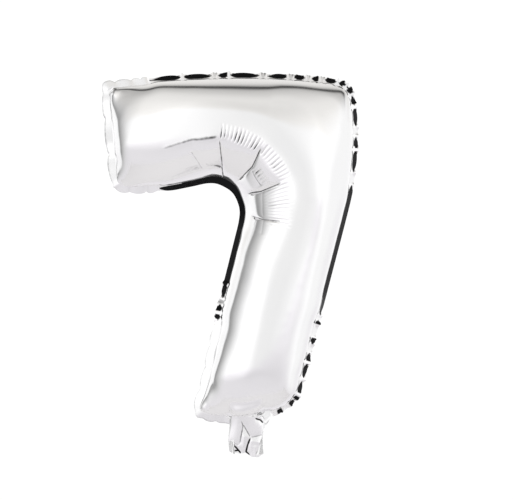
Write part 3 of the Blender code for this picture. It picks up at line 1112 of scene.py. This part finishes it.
def film_material(name, colour, roughness, transmission):
    """Clear or printed plastic film: its tint clouds a little, and fine wrinkles scatter its gloss."""
    material = bpy.data.materials.new(name)
    material.use_nodes = True
    graph = Graph(material.node_tree)
    shader = graph.nodes["Principled BSDF"]
    place = graph.nodes.new("ShaderNodeTexCoord").outputs["Object"]
    cloud = graph.noise(place, 120, 3)
    darker = tuple(0.86 * part for part in colour[:3]) + (1,)
    graph.put(graph.mix("MIX", cloud, darker, colour), shader.inputs["Base Color"])
    graph.put(graph.smooth(cloud, 0.3, 0.7, roughness * 0.8, roughness * 1.25), shader.inputs["Roughness"])
    shader.inputs["Transmission Weight"].default_value = transmission
    bump = graph.nodes.new("ShaderNodeBump")
    bump.inputs["Strength"].default_value = 0.25
    bump.inputs["Distance"].default_value = 0.2 * MM
    graph.put(graph.noise(place, 700, 2), bump.inputs["Height"])
    graph.put(bump.outputs["Normal"], shader.inputs["Normal"])
    return material


INLET_WIDTH = 0.72  # share of the neck's width
INLET_DOWN = (6, 31)  # where it begins and ends, in millimetres below the seam
INLET_INSET = 0.45  # between it and the foil, in millimetres


def make_inlets(material):
    """The two valve films inside the neck, crumpled with it."""
    wide = np.linspace(-INLET_WIDTH / 2, INLET_WIDTH / 2, 21)
    across, low = np.meshgrid(wide, np.linspace(*INLET_DOWN, 31))
    grid = np.arange(across.size).reshape(across.shape)
    for name, side in (("valve_inlet_front", -1), ("valve_inlet_back", 1)):
        laid, _ = neck_shape(across.ravel(), low.ravel(), side, INLET_INSET)
        inlet = new_mesh(name + "_film", laid, strip_faces(grid)[:, :: -side], material)
        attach(inlet, "neck")
        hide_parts(name)


SLEEVE_WIDTH = (16.5, 24.0)  # at the root, where the mouth's closed ends are near, and higher up
SLEEVE_WIDENS = (3, 18)  # heights above the root between which it widens
SLEEVE_ENDS = (-143.3, -84.0)  # heights of the root and of the open top
SLEEVE_GAP = (0.45, 0.7)  # from the middle plane at the edges, and how much more half way across


def make_sleeves(material):
    """The two valve films inside the balloon, narrower at the root so that they clear the seam."""
    across, z = np.meshgrid(np.linspace(-0.5, 0.5, 15), np.linspace(*SLEEVE_ENDS, 31))
    widening = ramp_up(z - SLEEVE_ENDS[0], *SLEEVE_WIDENS)
    x = NECK_X / MM + across * (SLEEVE_WIDTH[0] + (SLEEVE_WIDTH[1] - SLEEVE_WIDTH[0]) * widening)
    y = SLEEVE_GAP[0] + SLEEVE_GAP[1] * np.cos(math.pi * across)
    grid = np.arange(across.size).reshape(across.shape)
    for where, side in (("front", -1), ("back", 1)):
        points = np.stack([x.ravel(), side * y.ravel(), z.ravel()], 1) * MM
        sleeve = new_mesh(f"valve_sleeve_{where}_film", points, strip_faces(grid)[:, ::side], material)
        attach(sleeve, f"valve_{where}")
        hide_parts(f"valve_sleeve_{where}")


# Camera, stage and light

VIEW_WIDTH = 0.4847  # of what the camera sees at the balloon
VIEW_MIDDLE = (0.02593, 0.01414)  # where the middle of the picture lies, right of and above the origin
CAMERA_DISTANCE = 4.0
LENS = 85

FLOOR_Z = -1.4
FLOOR_FRONT = -1.0
FLOOR_BACK = 0.6
FLOOR_SIDE = 1.6
LAMP_PLACE = (0, -0.4, 1.6)
LAMP_SIZE = 1.4
LAMP_POWER = 22

# Brightness of the studio by direction. UP runs over the top, from below (-180) through the camera's
# side (0) and straight up (90) to the backdrop (180); ROUND runs round the sides, left negative.
# Both were set so that what the film reflects from the front comes near the photo's tones.
UP_STOPS = [
    (-180, 1.04), (-145, 0.86), (-118, 0.80), (-59, 0.79), (-46, 0.78), (-40, 0.76), (-36, 0.76),
    (-31, 0.82),
    (-24, 0.95), (-18, 1.06), (32, 1.06), (40, 0.96), (48, 0.89), (60, 0.82), (70, 0.79), (77, 0.73),
    (83, 0.64), (89, 0.57), (94, 0.50), (97, 0.28), (100, 0.07), (105, 0.06), (108, 0.35), (113, 0.58),
    (120, 0.72), (132, 0.79), (150, 0.81), (166, 1.04), (180, 1.04),
]
ROUND_STOPS = [
    (-180, 1.04), (-99, 0.98), (-94, 0.29), (-88, 0.36), (-80, 0.50), (-73, 0.62), (-67, 0.75), (-61, 0.88),
    (-53, 1.04), (-25, 1.04), (-19, 0.95), (-14, 0.87), (-8, 0.82), (10, 0.81), (19, 0.84), (29, 0.87),
    (44, 0.97), (50, 1.04), (77, 1.04), (86, 0.95), (133, 0.94), (180, 1.04),
]
WARM = (1.0, 0.985, 0.96)
COOL = (0.99, 0.97, 1.0)
WHITE = (1, 1, 1, 1)
RAMP_FADE = (0.30, 0.75)  # distances from each ramp's own axis over which it sets in
FLOOR_FADE = (-0.75, -0.30)  # heights of the direction over which ROUND sets in above the floor
WORLD_STRENGTH = 1.05


def make_camera():
    """The camera, level with the balloon and square to it as in the photograph."""
    camera = bpy.data.cameras.new("camera")
    camera.lens = LENS
    camera.sensor_width = VIEW_WIDTH / CAMERA_DISTANCE * LENS
    camera.shift_x, camera.shift_y = (offset / VIEW_WIDTH for offset in VIEW_MIDDLE)
    obj = new_object("camera", camera)
    obj.location = (0, -CAMERA_DISTANCE, 0)
    obj.rotation_euler = (math.pi / 2, 0, 0)
    bpy.context.scene.camera = obj


def make_world():
    """The studio that the film reflects. The camera itself sees a white backdrop."""
    world = bpy.data.worlds.new("studio")
    bpy.context.scene.world = world
    world.use_nodes = True
    graph = Graph(world.node_tree)
    place = graph.nodes.new("ShaderNodeTexCoord")
    parts = graph.nodes.new("ShaderNodeSeparateXYZ")
    graph.links.new(place.outputs["Generated"], parts.inputs[0])
    x, y, z = parts.outputs
    front = graph.math("MULTIPLY", y, -1.0)
    over = graph.math("DEGREES", graph.math("ARCTAN2", z, front))
    around = graph.math("DEGREES", graph.math("ARCTAN2", x, front))
    steep = graph.math("SQRT", graph.math("SUBTRACT", 1.0, graph.math("MULTIPLY", x, x), clamp=True))
    level = graph.math("SQRT", graph.math("SUBTRACT", 1.0, graph.math("MULTIPLY", z, z), clamp=True))
    up_ramp = graph.ramp(over, UP_STOPS, (COOL, WARM))
    high = graph.mix("MIX", graph.smooth(steep, *RAMP_FADE), WHITE, up_ramp)
    share = graph.math("MULTIPLY", graph.smooth(level, *RAMP_FADE), graph.smooth(z, *FLOOR_FADE))
    wide = graph.mix("MIX", share, WHITE, graph.ramp(around, ROUND_STOPS))
    studio = graph.mix("MULTIPLY", 1.0, high, wide)
    light_path = graph.nodes.new("ShaderNodeLightPath")
    seen = graph.mix("MIX", light_path.outputs["Is Camera Ray"], studio, WHITE)
    graph.links.new(seen, graph.nodes["Background"].inputs["Color"])
    graph.nodes["Background"].inputs["Strength"].default_value = WORLD_STRENGTH
    bpy.context.scene.view_settings.view_transform = "Standard"


def make_floor():
    """The pale floor, far below the balloon, which the film also reflects."""
    mesh = bpy.data.meshes.new("floor")
    corners = [(x, y, FLOOR_Z) for x in (-FLOOR_SIDE, FLOOR_SIDE) for y in (FLOOR_FRONT, FLOOR_BACK)]
    mesh.from_pydata(corners, [], [(0, 2, 3, 1)])
    material = bpy.data.materials.new("floor")
    material.use_nodes = True
    shader = material.node_tree.nodes["Principled BSDF"]
    shader.inputs["Base Color"].default_value = (0.86, 0.85, 0.87, 1)
    shader.inputs["Roughness"].default_value = 0.7
    mesh.materials.append(material)
    new_object("floor", mesh)


def make_lamp():
    """Lights the floor. The film is lit by the studio round it, so it doesn't mirror the lamp."""
    lamp = bpy.data.lights.new("soft_light", "AREA")
    lamp.size = LAMP_SIZE
    lamp.energy = LAMP_POWER
    obj = new_object("soft_light", lamp)
    obj.location = LAMP_PLACE
    obj.visible_glossy = False


make_floor()
make_lamp()
make_camera()
make_world()
foil = foil_material()
film, shape, shade = blown_film()
sheets = foil_sheets(film, shape, shade, foil)
for sheet in sheets.values():
    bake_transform(sheet)
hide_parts("front_panel", "neck_front", "seam_flange")
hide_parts("back_panel", "neck_back")

clear = film_material("valve_film", (0.86, 0.89, 0.89, 1), 0.16, 0.8)
make_inlets(clear)
make_sleeves(clear)
ink = film_material("release_ink", (0.30, 0.32, 0.34, 1), 0.7, 0)
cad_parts["valve_release_ink"].material_slots[0].material = ink
